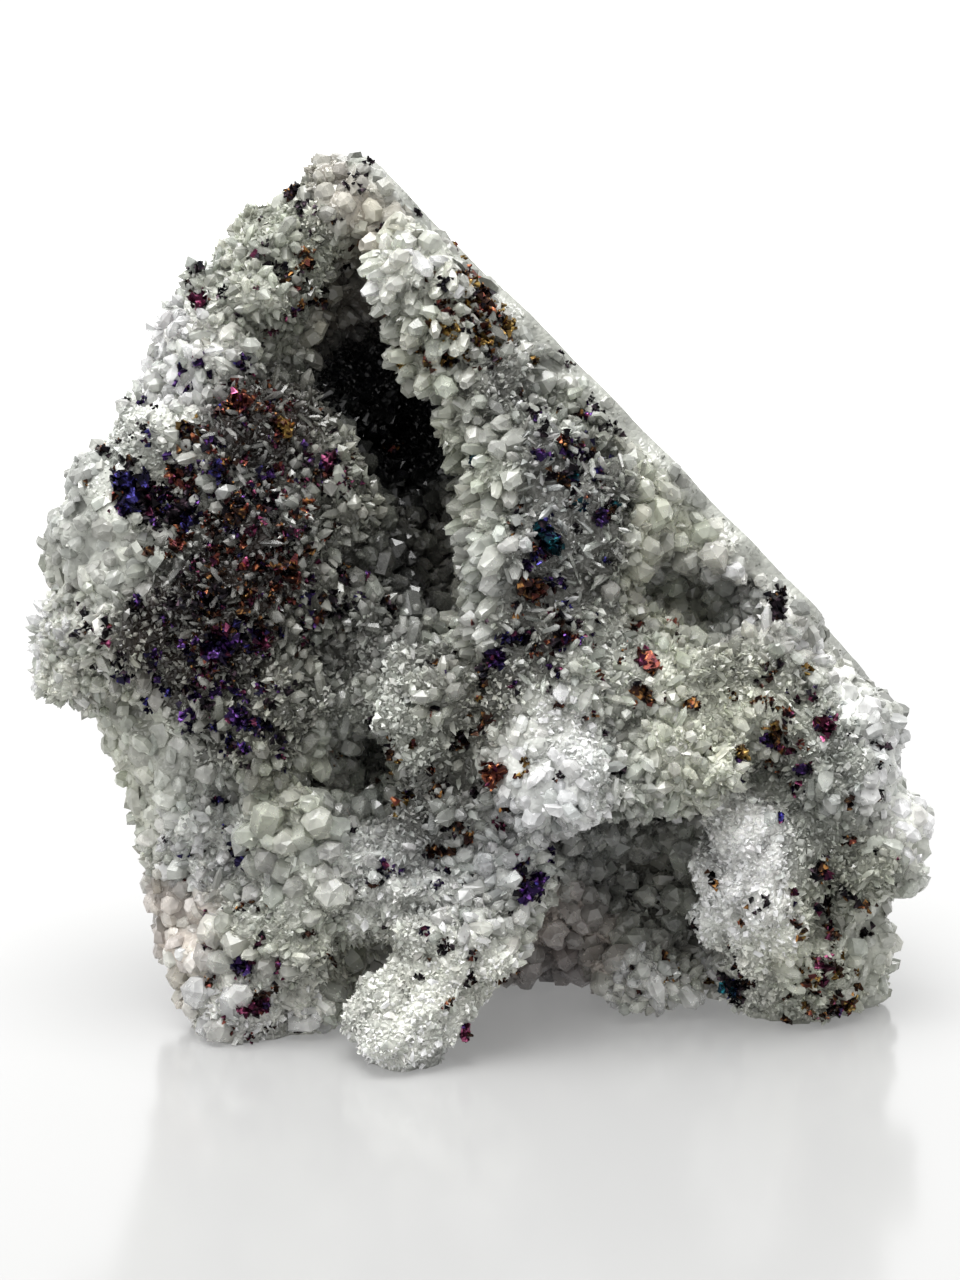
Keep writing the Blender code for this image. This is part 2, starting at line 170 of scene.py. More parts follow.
# What grows where: centre in millimetres, habit and tone
Zone = namedtuple("Zone", "place habit tone")
ZONES = named(Zone, {
    "crown": ((-17, -4, 110), "massive", "umber"),
    "crown_left": ((-24, -4, 105), "sugar", "grey_green"),
    "upper_knob": ((-32, -5, 99), "points", "milk"),
    "left_edge": ((-39, -9, 88), "stubby", "snow"),
    "temple": ((-43, -12, 79), "glaze", "milk"),
    "wing": ((-54, -10, 65), "massive", "dull"),
    "wing_top": ((-50, -14, 71), "massive", "dull"),
    "wing_low": ((-55, -12, 51), "points", "frost"),
    "knob": ((-6, -11, 102), "scales", "frost"),
    "knob_low": ((-6, -13, 89), "scales", "milk"),
    "under_crown": ((-18, 8, 97), "massive", "umber"),
    # The crystals of the hollow are painted near black as its shadow
    "cavity": ((-12, 10, 77), "sugar", "night"),
    "cavity_top": ((-15, 9, 84), "sugar", "night"),
    "cavity_low": ((-7, 9, 72), "sugar", "night"),
    "saw_edge": ((-1, -7, 93), "sugar", "smoke"),
    "saw_edge_low": ((1, -10, 88), "sugar", "smoke"),
    "saw_shoulder": ((10, -8, 84), "points", "grey_green"),
    "saw_rim": ((12, -3, 87), "blocky", "milk"),
    "rib_left": ((-2, -14, 74), "scales", "grey_green"),
    "rib_mid": ((-2, -16, 60), "scales", "milk"),
    "rib_right": ((11, -15, 74), "rice", "glassy"),
    "rib_low": ((7, -21, 59), "rice", "glassy"),
    "rim": ((27, -8, 71), "large", "olive"),
    "rim_low": ((34, -5, 61), "large", "snow"),
    "rim_outer": ((38, -2, 62), "sugar", "snow"),
    "rim_tip": ((37, -8, 57), "stubby", "snow"),
    "valley_right": ((27, 0, 56), "large", "olive"),
    "valley_left": ((21, -4, 57), "blocky", "olive"),
    "face_top": ((-30, -16, 82), "rice", "soot"),
    "face_upper": ((-37, -15, 72), "sugar", "smoke"),
    "face_mid": ((-30, -20, 63), "rice", "soot"),
    "face_low": ((-36, -19, 51), "sugar", "soot"),
    "fringe": ((-17, -15, 69), "points", "smoke"),
    "fringe_low": ((-17, -16, 56), "points", "smoke"),
    "column_plate": ((-26, -16, 23), "glaze", "milk"),
    # The gully is darkened as painted shade on the shaded side of the rib
    "gully": ((-8, -3, 62), "blocky", "soot"),
    # The back and left of the gully are painted near black as shadow
    "gully_back": ((-8, 4, 68), "blocky", "night"),
    "gully_left": ((-12, -8, 62), "blocky", "night"),
    "jaw": ((-32, -19, 43), "sugar", "smoke"),
    "flank_left": ((-45, -11, 36), "massive", "milk"),
    "recess_left": ((-18, -9, 34), "blocky", "milk"),
    "saddle": ((-5, -22, 48), "sugar", "smoke"),
    "saddle_left": ((-10, -21, 45), "glaze", "grey_green"),
    "belly": ((8, -27, 37), "massive", "frost"),
    "belly_top": ((13, -25, 41), "glaze", "frost"),
    "belly_right": ((20, -24, 38), "points", "milk"),
    "belly_left": ((-7, -21, 32), "sugar", "smoke"),
    "slope_right": ((18, -20, 49), "points", "milk"),
    "flank_right_upper": ((32, -17, 47), "sugar", "milk"),
    "flank_right": ((43, -17, 41), "sugar", "grey_green"),
    "edge_right": ((54, -11, 31), "massive", "frost"),
    "edge_right_top": ((51, -10, 42), "massive", "frost"),
    "shin_right": ((32, -19, 22), "glaze", "snow"),
    "shin_inner": ((30, -16, 15), "glaze", "frost"),
    "shin_low": ((36, -19, 8), "glaze", "frost"),
    "flank_low": ((47, -16, 24), "sugar", "grey_green"),
    "foot_right": ((45, -14, 7), "sugar", "milk"),
    "foot_right_edge": ((52, -11, 9), "massive", "milk"),
    "grotto": ((21, 0, 14), "large", "glassy"),
    "grotto_edge": ((16, -5, 22), "blocky", "glassy"),
    "finger_root": ((5, -22, 26), "stubby", "frost"),
    "finger": ((-7, -27, 12), "glaze", "frost"),
    "finger_tip": ((-11, -30, 5), "glaze", "frost"),
    "column": ((-34, -14, 26), "points", "frost"),
    "column_low": ((-30, -20, 15), "sugar", "milk"),
    "foot_left": ((-30, -19, 5), "sugar", "snow"),
    "foot_left_edge": ((-38, -16, 12), "massive", "blush"),
    "pebble": ((23, -12, 5), "stubby", "snow"),
    "shell": ((13, -7, 11), "large", "blush"),
    "column_window": ((-28, -20, 26), "large", "milk"),
    "foot_window": ((-34, -18, 10), "large", "frost"),
    "ridge_low": ((-11, -22, 23), "sugar", "frost"),
})

# Tarnish colours of the chalcopyrite: the hue, where it flashes, where it is deepest, and the
# colours of the crystals that sit among it
Tarnish = namedtuple("Tarnish", "hue flash deep kin")
TARNISH = named(Tarnish, {
    "blue": (
        (0.007, 0.005, 0.024), (0.08, 0.07, 0.36), (0.004, 0.004, 0.010),
        "black violet black magenta",
    ),
    "violet": (
        (0.016, 0.007, 0.038), (0.20, 0.08, 0.36), (0.008, 0.006, 0.03),
        "blue black magenta",
    ),
    "magenta": (
        (0.05, 0.008, 0.022), (0.46, 0.12, 0.24), (0.02, 0.004, 0.014),
        "violet bronze black",
    ),
    "copper": (
        (0.085, 0.022, 0.016), (0.70, 0.27, 0.13), (0.035, 0.008, 0.010),
        "magenta bronze",
    ),
    "bronze": (
        (0.034, 0.016, 0.010), (0.36, 0.18, 0.06), (0.018, 0.007, 0.007),
        "black copper black",
    ),
    "gold": (
        (0.14, 0.085, 0.022), (0.70, 0.48, 0.16), (0.05, 0.024, 0.008),
        "bronze copper",
    ),
    "teal": (
        (0.007, 0.028, 0.036), (0.03, 0.26, 0.32), (0.005, 0.014, 0.035),
        "blue black",
    ),
    "black": (
        (0.008, 0.006, 0.008), (0.07, 0.045, 0.06), (0.005, 0.005, 0.008),
        "bronze black black",
    ),
})

# Where clusters of small chalcopyrite sit: centre and spread in millimetres, how many, and colours
Sprinkle = namedtuple("Sprinkle", "place spread count hues")
SPRINKLES = named(Sprinkle, {
    "face_top": ((-30, -16, 81), 5.5, 48, "copper magenta gold bronze copper violet"),
    "face_upper": ((-37, -15, 71), 6.5, 60, "violet black blue bronze copper"),
    "face_mid": ((-28, -20, 66), 8, 130, "bronze bronze black copper black magenta"),
    "face_low": ((-33, -19, 54), 8, 116, "violet black bronze black magenta blue"),
    "fringe": ((-20, -15, 75), 4, 16, "magenta violet bronze black"),
    "fringe_low": ((-17, -16, 60), 6, 20, "black bronze violet"),
    "jaw": ((-29, -19, 44), 5, 30, "violet black blue"),
    "saw_edge": ((-3.5, -9, 92.5), 4.6, 104, "bronze gold black gold"),
    "crown": ((-17, -4, 107), 5, 16, "black"),
    "crown_left": ((-24, -4, 100), 6, 16, "black bronze"),
    "upper_knob": ((-32, -5, 96), 6, 14, "black magenta"),
    "left_edge": ((-39, -9, 87), 6, 9, "black violet"),
    "temple": ((-44, -12, 76), 5, 10, "black"),
    "temple_streak": ((-44.5, -15, 71), 1.4, 7, "magenta violet blue"),
    "temple_cluster": ((-43, -14, 70.5), 2.5, 44, "black violet black black"),
    "wing_low": ((-49, -16, 51), 4, 14, "black"),
    "saw_shoulder": ((10, -9, 81), 5, 26, "bronze violet black"),
    "rib_right": ((11, -15, 73), 5.5, 34, "blue teal violet black bronze"),
    "rib_low": ((8, -20, 61), 6, 34, "bronze violet black copper blue"),
    "rib_foot": ((2, -20, 53), 5, 18, "violet black bronze"),
    "slope": ((21, -19, 51), 6, 16, "copper bronze black"),
    "flank_upper": ((33, -16, 46), 6.5, 16, "bronze gold black"),
    "flank": ((39, -17, 40), 5, 22, "bronze copper magenta gold violet"),
    "edge_right": ((49, -14, 37), 4.5, 9, "black"),
    "belly": ((14, -25, 40), 6, 6, "bronze black"),
    "belly_left": ((-7, -21, 33), 7, 20, "bronze gold black"),
    "saddle": ((-4, -22, 47), 8, 18, "bronze black gold"),
    "finger_root": ((5, -22, 23), 4, 14, "violet black magenta"),
    "finger": ((-2, -27, 12), 5, 14, "black bronze"),
    "column": ((-34, -14, 26), 6, 16, "blue black bronze"),
    "column_low": ((-31, -20, 13), 7, 16, "magenta violet bronze"),
    "foot_left": ((-30, -19, 4), 4, 12, "magenta copper bronze"),
    "foot_right": ((45, -14, 6), 5.5, 40, "gold bronze bronze magenta"),
    "flank_low": ((46, -15, 20), 6, 26, "black bronze black magenta"),
    "pebble": ((23, -12, 5), 5, 10, "gold bronze"),
    "shin_right": ((33, -19, 19), 6, 5, "bronze black"),
    "recess_left": ((-18, -12, 34), 5, 8, "bronze black"),
    "rim_low": ((39, -8, 57), 2.5, 5, "black"),
    "back_top": ((-18, 22, 80), 8, 14, "bronze black"),
    "back_middle": ((12, 30, 48), 9, 18, "bronze gold black violet"),
    "back_low": ((-30, 28, 22), 9, 16, "bronze black"),
    "heel": ((34, -10, 6), 3, 14, "black"),
    "ridge_low": ((-11, -22, 23), 7, 16, "bronze black violet"),
})

# Crystal forms: corners round the long axis from root (0) to tip (1), the faces between them, and
# how bright each corner is painted, as painted light and shade from darker roots to brighter rims
Form = namedtuple("Form", "corners faces glow")


def ring(sides, height, radius):
    turns = [2 * math.pi * side / sides for side in range(sides)]
    return [(radius * math.cos(t), radius * math.sin(t), height) for t in turns]


def band(low, high, sides):
    return [
        (low + k, low + (k + 1) % sides, high + (k + 1) % sides, high + k) for k in range(sides)
    ]


def fan(low, tip, sides):
    return [(low + k, low + (k + 1) % sides, tip) for k in range(sides)]


def prism_form(sides, shoulder, root_radius):
    """A prism with a flat root and a pointed end."""
    corners = ring(sides, 0, root_radius) + ring(sides, shoulder, 1) + [(0, 0, 1)]
    faces = [tuple(reversed(range(sides)))]
    faces += band(0, sides, sides) + fan(sides, 2 * sides, sides)
    glow = np.array([0.9] * sides + [0.95] * sides + [1.2])
    return Form(np.array(corners), faces, glow)


# The glow paints each ring: shade at the root, a painted rim light at the shoulder and bevel, a
# darker centre at the tip
def blunt_form(sides, shoulder, root_radius, tip_radius, glow=(0.8, 1.25, 1.1, 0.7)):
    """A prism with a flat root and a bevelled, blunt end."""
    corners = ring(sides, 0, root_radius) + ring(sides, shoulder, 1)
    corners += ring(sides, 0.98, tip_radius) + [(0, 0, 1)]
    faces = [tuple(reversed(range(sides)))]
    faces += band(0, sides, sides) + band(sides, 2 * sides, sides)
    faces += fan(2 * sides, 3 * sides, sides)
    return Form(np.array(corners), faces, np.repeat(glow, (sides, sides, sides, 1)))


def grain_form(sides, waist):
    """A grain pointed at both ends."""
    corners = [(0, 0, 0)] + ring(sides, waist, 1) + [(0, 0, 1)]
    roots = [(1 + (k + 1) % sides, 1 + k, 0) for k in range(sides)]
    glow = np.array([0.9] + [1] * sides + [1.15])
    return Form(np.array(corners), roots + fan(1, sides + 1, sides), glow)


def sphenoid_form():
    """A blunt three-sided chalcopyrite crystal."""
    corners = ring(3, 0, 1) + ring(3, 1, 0.3)
    faces = [(2, 1, 0), (3, 4, 5)] + band(0, 3, 3)
    return Form(np.array(corners), faces, np.ones(6))


FORMS = {
    "blocky": blunt_form(6, 0.72, 0.85, 0.4),
    "stubby": blunt_form(6, 0.7, 0.8, 0.34),
    "points": prism_form(6, 0.66, 0.8),
    "sugar": prism_form(4, 0.66, 0.85),
    "glaze": prism_form(4, 0.6, 0.9),
    "rice": prism_form(5, 0.8, 0.75),
    "scales": blunt_form(6, 0.62, 0.7, 0.52, (0.75, 1.1, 1.25, 1.05)),
    "large": blunt_form(6, 0.76, 0.9, 0.5),
    "massive": blunt_form(7, 0.7, 1.1, 0.6, (0.8, 0.95, 0.9, 0.85)),
    "broken": prism_form(4, 0.7, 1.1),
    "small": grain_form(3, 0.5),
}


# Settings

def length(name, description, millimetres):
    return FloatProperty(
        name=name, description=description, default=millimetres * MM, unit="LENGTH"
    )


class QuartzSettings(bpy.types.PropertyGroup):
    skin_size: length("Skin size", "Face size of the quartz mass", 1.0)
    skin_inset: length("Skin inset", "How far the mass lies below the tips of its crystals", 2.4)
    skin_relief: length("Skin relief", "Height of its rounded clusters", 4.2)
    # Painted shade: how much darker the quartz colours are painted where the mass hides its own sky
    vug_painted_shade: FloatProperty(
        name="Vug darkness",
        description="How much darker the quartz is deep inside the hollows",
        default=0.5,
        subtype="FACTOR",
    )
    seed: IntProperty(name="Seed", description="Seed of the crystals' places", default=7)


class ChalcopyriteSettings(bpy.types.PropertyGroup):
    smallest: length("Smallest grain", "Radius of the finest grains", 0.2)
    largest: length("Largest grain", "Radius of the coarsest grains", 0.8)
    seed: IntProperty(name="Seed", description="Seed of the grains' places", default=11)


class StageSettings(bpy.types.PropertyGroup):
    floor_colour: FloatVectorProperty(
        name="Floor colour",
        description="Colour of the white table",
        default=(0.30, 0.30, 0.297),
        subtype="COLOR",
    )
    floor_glow: FloatProperty(
        name="Floor glow", description="Light that the table gives off", default=0.20
    )
    key_power: FloatProperty(
        name="Key light", description="Power of the overhead softbox", default=3.6, unit="POWER"
    )
    fill_power: FloatProperty(
        name="Fill light", description="Power of the side light", default=1.0, unit="POWER"
    )
    backdrop: FloatProperty(
        name="Backdrop", description="Brightness of the white surround", default=1.12
    )


# Node helpers

def set_inputs(node, values):
    for name, value in values.items():
        node.inputs[name].default_value = value


def new_material(name):
    made = bpy.data.materials.new(name)
    made.use_nodes = True
    return made, made.node_tree, made.node_tree.nodes["Principled BSDF"]


def new_group(name, inputs, outputs):
    """A node group with the given sockets and their types, its inputs and its outputs."""
    tree = bpy.data.node_groups.new(name, "ShaderNodeTree")
    for way, sockets in (("INPUT", inputs), ("OUTPUT", outputs)):
        for socket, kind in sockets.items():
            tree.interface.new_socket(socket, in_out=way, socket_type="NodeSocket" + kind)
    given = tree.nodes.new("NodeGroupInput")
    result = tree.nodes.new("NodeGroupOutput")
    return tree, given.outputs, result.inputs


def texture(tree, kind, **inputs):
    """A texture over the object's own coordinates."""
    made = tree.nodes.new("ShaderNodeTex" + kind)
    place = tree.nodes.new("ShaderNodeTexCoord")
    tree.links.new(place.outputs["Object"], made.inputs["Vector"])
    set_inputs(made, inputs)
    return made


def ranged(tree, value, start, end, low, high):
    """A value that runs from start to end, mapped to low to high."""
    ramp = tree.nodes.new("ShaderNodeMapRange")
    set_inputs(ramp, {"From Min": start, "From Max": end, "To Min": low, "To Max": high})
    tree.links.new(value, ramp.inputs["Value"])
    return ramp.outputs["Result"]


def mask(tree, value, start, end):
    """A smooth step from 0 at start to 1 at end."""
    made = ranged(tree, value, start, end, 0, 1)
    made.node.interpolation_type = "SMOOTHSTEP"
    return made


def product(tree, first, second):
    made = tree.nodes.new("ShaderNodeMath")
    made.operation = "MULTIPLY"
    tree.links.new(first, made.inputs[0])
    tree.links.new(second, made.inputs[1])
    return made.outputs["Value"]


def scaled(tree, colour, factor):
    made = tree.nodes.new("ShaderNodeVectorMath")
    made.operation = "SCALE"
    tree.links.new(colour, made.inputs[0])
    tree.links.new(factor, made.inputs["Scale"])
    return made.outputs["Vector"]


def mix_colour(tree, share, low, high):
    mixed = tree.nodes.new("ShaderNodeMix")
    mixed.data_type = "RGBA"
    tree.links.new(share, mixed.inputs["Factor"])
    tree.links.new(low, mixed.inputs["A"])
    tree.links.new(high, mixed.inputs["B"])
    return mixed.outputs["Result"]


def painted(tree, layer):
    """The outputs of a colour attribute."""
    made = tree.nodes.new("ShaderNodeAttribute")
    made.attribute_name = layer
    return made.outputs


def add_bump(tree, height, strength, distance):
    bump = tree.nodes.new("ShaderNodeBump")
    set_inputs(bump, {"Strength": strength, "Distance": distance})
    tree.links.new(height, bump.inputs["Height"])
    tree.links.new(bump.outputs["Normal"], tree.nodes["Principled BSDF"].inputs["Normal"])


# Materials

def veil_group():
    """Milky veils and clear patches inside quartz, as a colour and a roughness."""
    tree, given, result = new_group(
        "Milky veils", {"Tint": "Color", "Scale": "Float"}, {"Color": "Color", "Roughness": "Float"}
    )
    veils = texture(tree, "Noise", Detail=3)
    tree.links.new(given["Scale"], veils.inputs["Scale"])
    strength = ranged(tree, veils.outputs["Fac"], 0.3, 0.7, 0.72, 1.12)
    tree.links.new(scaled(tree, given["Tint"], strength), result["Color"])
    frosted = ranged(tree, veils.outputs["Fac"], 0.35, 0.7, 0.08, 0.36)
    tree.links.new(frosted, result["Roughness"])
    return tree


def facet_group():
    """Flat-sided points of the finest crystals, as a height in sizes of one of them."""
    tree, given, result = new_group("Fine facets", {"Scale": "Float"}, {"Height": "Float"})
    points = texture(tree, "Voronoi")
    points.feature = "DISTANCE_TO_EDGE"
    tree.links.new(given["Scale"], points.inputs["Scale"])
    tree.links.new(points.outputs["Distance"], result["Height"])
    return tree


def add_facets(made, size, steepness):
    """Roughens a quartz material with points of the given size, as high as the tint's alpha."""
    tree = made.node_tree
    facets = tree.nodes.new("ShaderNodeGroup")
    facets.node_tree = bpy.data.node_groups.get("Fine facets") or facet_group()
    facets.inputs["Scale"].default_value = 1 / size
    height = product(tree, facets.outputs["Height"], painted(tree, "tint")["Alpha"])
    add_bump(tree, height, steepness, size)


def quartz_material(name, group, scale, clearness, scatter, tint=None):
    """Quartz in the tone of its tint attribute, or in one tint, with veils of the given scale."""
    made, tree, shader = new_material(name)
    veils = tree.nodes.new("ShaderNodeGroup")
    veils.node_tree = group
    veils.inputs["Scale"].default_value = scale
    if tint is None:
        tree.links.new(painted(tree, "tint")["Color"], veils.inputs["Tint"])
    else:
        veils.inputs["Tint"].default_value = (*tint, 1)
    tree.links.new(veils.outputs["Color"], shader.inputs["Base Color"])
    tree.links.new(veils.outputs["Roughness"], shader.inputs["Roughness"])
    finish = {
        "Base Color": (0.6, 0.65, 0.61, 1),
        "IOR": QUARTZ_IOR,
        "Transmission Weight": clearness,
        "Subsurface Weight": scatter,
        "Subsurface Radius": (0.9, 1.0, 0.92),
        "Subsurface Scale": 0.8 * MM,
    }
    set_inputs(shader, finish)
    if clearness > 0:
        absorbed = tree.nodes.new("ShaderNodeVolumeAbsorption")
        set_inputs(absorbed, {"Color": CLEAR_COLOUR, "Density": CLEAR_DENSITY})
        tree.links.new(absorbed.outputs["Volume"], tree.nodes["Material Output"].inputs["Volume"])
    return made


def sawn_material(group):
    """Sawn quartz: cloudy growth bands, cut grains of chalcopyrite and faint saw marks."""
    made = quartz_material("sawn quartz", group, 300, 0.0, 0.1, (0.36, 0.37, 0.34))
    tree = made.node_tree
    base = tree.nodes["Principled BSDF"].inputs["Base Color"]
    bands = texture(tree, "Wave", Scale=38, Distortion=12, Detail=4)
    strength = ranged(tree, bands.outputs["Fac"], 0, 1, 0.72, 1.12)
    cut_crystals = texture(tree, "Voronoi", Scale=520)
    apart = tree.nodes.new("ShaderNodeSeparateColor")
    tree.links.new(cut_crystals.outputs["Color"], apart.inputs["Color"])
    pale = ranged(tree, apart.outputs["Red"], 0, 1, 0.78, 1.15)
    banded = scaled(tree, base.links[0].from_socket, product(tree, strength, pale))
    grains = texture(tree, "Noise", Scale=420, Detail=2)
    cut_grain = mask(tree, grains.outputs["Fac"], 0.66, 0.69)
    metal = tree.nodes.new("ShaderNodeRGB").outputs["Color"]
    metal.default_value = (0.09, 0.065, 0.035, 1)
    tree.links.new(mix_colour(tree, cut_grain, banded, metal), base)
    saw_marks = texture(tree, "Wave", Scale=260, Distortion=1.5)
    add_bump(tree, saw_marks.outputs["Fac"], 0.15, 0.05 * MM)
    return made


TARNISH_LAYERS = ("hue", "flash", "deep")


def tarnish_group():
    """Thin-film tarnish: a metal that shifts between three hues, dulled in patches."""
    tree, given, result = new_group(
        "Peacock tarnish",
        dict.fromkeys(TARNISH_LAYERS, "Color"),
        {"Color": "Color", "Roughness": "Float", "Height": "Float"},
    )
    clouds = texture(tree, "Noise", Scale=900, Detail=2, Distortion=0.8).outputs["Fac"]
    streaks = texture(tree, "Wave", Scale=1400, Distortion=3)
    streaks.bands_direction = "DIAGONAL"
    flashing = mix_colour(tree, mask(tree, clouds, 0.55, 0.68), given["hue"], given["flash"])
    deepened = mix_colour(tree, mask(tree, clouds, 0.48, 0.36), flashing, given["deep"])
    tree.links.new(deepened, result["Color"])
    tree.links.new(ranged(tree, clouds, 0.3, 0.7, 0.18, 0.45), result["Roughness"])
    tree.links.new(streaks.outputs["Fac"], result["Height"])
    return tree


def chalcopyrite_material(name, group, hues=None):
    """Chalcopyrite in the given hues, or in those of its colour attributes."""
    made, tree, shader = new_material(name)
    tarnish = tree.nodes.new("ShaderNodeGroup")
    tarnish.node_tree = group
    if hues is None:
        for layer in TARNISH_LAYERS:
            tree.links.new(painted(tree, layer)["Color"], tarnish.inputs[layer])
        hues = TARNISH["bronze"]
    else:
        for layer, hue in zip(TARNISH_LAYERS, hues):
            tarnish.inputs[layer].default_value = (*hue, 1)
    add_bump(tree, tarnish.outputs["Height"], 0.25, 0.05 * MM)
    tree.links.new(tarnish.outputs["Color"], shader.inputs["Base Color"])
    tree.links.new(tarnish.outputs["Roughness"], shader.inputs["Roughness"])
    set_inputs(shader, {"Base Color": (*hues[0], 1), "Metallic": 0.9})
    return made


# Shape helpers

def scene_object(name, mesh):
    made = bpy.data.objects.new(name, mesh)
    bpy.context.scene.collection.objects.link(made)
    return made


def read(data, name, width):
    values = np.empty(len(data) * width, np.float32)
    data.foreach_get(name, values)
    return values.reshape(-1, width).astype(float) if width > 1 else values.astype(float)


def unit(vectors):
    return vectors / np.maximum(np.linalg.norm(vectors, axis=1, keepdims=True), 1e-12)


def between(limits, share):
    return limits[0] + (limits[1] - limits[0]) * share


def saw_height(points):
    """How far points stand out of the sawn side."""
    return (points - SAW_POINT) @ SAW_NORMAL


def clip_to_cuts(points):
    """Moves what stands out of the sawn side or under the floor back onto that flat."""
    points = points - np.maximum(saw_height(points), 0)[..., None] * SAW_NORMAL
    points[..., 2] = np.maximum(points[..., 2], 0)
    return points


class Skin:
    """The faces of the quartz mass, and what grows on each."""

    def __init__(self, thing):
        faces = thing.data.polygons
        self.place = read(faces, "center", 3)
        self.normal = unit(read(faces, "normal", 3))
        on_saw = (np.abs(saw_height(self.place)) < 0.3 * MM) & (self.normal @ SAW_NORMAL > 0.9)
        on_floor = (self.place[:, 2] < 0.3 * MM) & (self.normal[:, 2] < -0.8)
        self.free = ~(on_saw | on_floor)
        self.sheltered = sheltered(thing.data, self.place, self.normal)
        # Tones of crystals and ground, with painted shade where the mass hides its own sky
        self.habit, self.tone, self.ground = zoned(self.place, self.sheltered)


def sheltered(mesh, places, normals, reach=18 * MM, rays=14):
    """Share of the sky over each place that the quartz itself hides."""
    tree = BVHTree.FromPolygons(
        [v.co[:] for v in mesh.vertices], [p.vertices[:] for p in mesh.polygons]
    )
    golden = math.pi * (3 - math.sqrt(5))
    steps = (np.arange(rays) + 0.5) / rays
    across = np.sqrt(steps)
    turns = golden * np.arange(rays)
    lobe = np.stack((across * np.cos(turns), across * np.sin(turns), np.sqrt(1 - steps)), 1)
    side = unit(np.cross(normals, aside(normals)))
    other = np.cross(normals, side)
    starts = places + normals * 1.5 * MM
    hidden = np.zeros(len(places))
    for right, forward, up in lobe:
        ways = side * right + other * forward + normals * up
        for index in range(len(places)):
            if tree.ray_cast(Vector(starts[index]), Vector(ways[index]), reach)[0] is not None:
                hidden[index] += 1
    return hidden / rays


def aside(ways):
    """A direction for each way that isn't parallel to it."""
    return np.where(np.abs(ways[:, 2:]) < 0.9, (0, 0, 1.0), (1.0, 0, 0))


def clouds(places, scale, shift=(0, 0, 0)):
    """Smooth noise over the places, about -1 to 1."""
    return np.array([noise.noise(Vector(place) * scale + Vector(shift)) for place in places])


def both_tones(name):
    return np.array(TONES[name].crystal + TONES[name].ground)


def zoned(places, shade):
    """The habit of the nearest zone and the blended tone of the near ones, for each place."""
    settings = bpy.context.scene.quartz_settings
    chance = np.random.default_rng(settings.seed)
    centres = np.array([zone.place for zone in ZONES.values()]) * MM
    tones = np.array([both_tones(zone.tone) for zone in ZONES.values()])
    habits = np.array([zone.habit for zone in ZONES.values()])
    away = np.linalg.norm(places[:, None] - centres[None], axis=2)
    wobble = chance.normal(0, BORDER_WOBBLE, away.shape)
    nearest = np.argmin(away + wobble, axis=1)
    far_weight = np.exp(-away / (3 * MM)) * 1e-3
    weight = np.exp(-((away / ZONE_REACH) ** 2)) + far_weight + 1e-9
    tone = weight @ tones / weight.sum(1, keepdims=True)
    behind = np.clip((places[:, 1] - BACK_START) / BACK_FADE, 0, 1) * (shade < 0.45)
    tone = tone * (1 - behind[:, None]) + back_tones(places) * behind[:, None]
    warmth = clouds(places, WARM_SCALE, (3, 1, 2))[:, None]
    tone *= 1 + warmth * np.array(WARM_SHIFT * 2)
    # Painted shade: colours darken where the mass hides its own sky, the ground more than the
    # crystals, mottled by a random change of tone
    painted_shade_and_mottle = 1 - settings.vug_painted_shade * np.clip((shade - 0.1) / 0.75, 0, 1)
    painted_shade_and_mottle = (painted_shade_and_mottle * (1 + 0.5 * clouds(places, SHADE_SCALE)))[:, None]
    tone[:, :3] *= painted_shade_and_mottle**0.6
    tone[:, 3:] *= painted_shade_and_mottle**1.3
    cut = np.clip(1.5 + saw_height(places) / SAW_STRIP, 0, 1)[:, None]
    tone = tone * (1 - cut) + np.array(TONES["milk"].crystal * 2) * SAW_STRIP_TONE * cut
    habits = np.where(cut[:, 0] > 0.35, "massive", patched(places, habits[nearest], behind))
    return habits, tone[:, :3], tone[:, 3:]


def back_tones(places):
    """Plain and stained patches of the back."""
    plain, stained = both_tones("grey_green"), both_tones("stain")
    stain = clouds(places, STAIN_SCALE)[:, None]
    return plain + (stained - plain) * np.clip(stain * 2.2 + 0.2, 0, 1)


def patched(places, habits, behind):
    """Breaks even growth up: coarser and glazed patches, and rough breaks over the back."""
    patch = clouds(places, PATCH_SCALE)
    even = np.isin(habits, ("sugar", "points"))
    habits = np.where(even & (patch > 0.33), "stubby", habits)
    habits = np.where(even & (patch < -0.42), "glaze", habits)
    break_patch = clouds(places, BREAK_SCALE)
    back = np.where(break_patch > 0.22, "points", np.where(break_patch < -0.3, "sugar", "broken"))
    return np.where(behind > 0.5, back, habits)


def spread(places, gap, order):
    """A well-spaced choice of places: none is nearer to another than gap."""
    cells, chosen = {}, []
    for index in order:
        cell = tuple(np.floor(places[index] / gap).astype(int))
        near = (
            other
            for x in (-1, 0, 1)
            for y in (-1, 0, 1)
            for z in (-1, 0, 1)
            for other in cells.get((cell[0] + x, cell[1] + y, cell[2] + z), ())
        )
        if all(np.sum((places[index] - places[other]) ** 2) > gap * gap for other in near):
            cells.setdefault(cell, []).append(index)
            chosen.append(index)
    return np.array(chosen, int)


def grow(form, roots, ways, radii, lengths, chance):
    """Corners of one crystal for each root, growing along its way."""
    count = len(roots)
    ways = unit(ways)
    side = unit(np.cross(ways, aside(ways)))
    turn = chance.uniform(0, 2 * math.pi, (count, 1))
    other = np.cross(ways, side)
    side, other = (
        side * np.cos(turn) + other * np.sin(turn),
        other * np.cos(turn) - side * np.sin(turn),
    )
    shape = np.repeat(form.corners[None], count, 0)
    shape[:, :, :2] *= chance.uniform(0.82, 1.18, shape[:, :, :1].shape)
    shape[:, :, 0] *= chance.uniform(0.75, 1.15, (count, 1))
    shape[:, :, 2] += chance.uniform(-0.06, 0.06, shape[:, :, 2].shape) * (shape[:, :, 2] > 0.1)
    shape[:, -1, :2] += chance.uniform(-0.3, 0.3, (count, 2))
    return (
        roots[:, None]
        + side[:, None] * shape[:, :, :1] * radii[:, None, None]
        + other[:, None] * shape[:, :, 1:2] * radii[:, None, None]
        + ways[:, None] * shape[:, :, 2:] * lengths[:, None, None]
    )


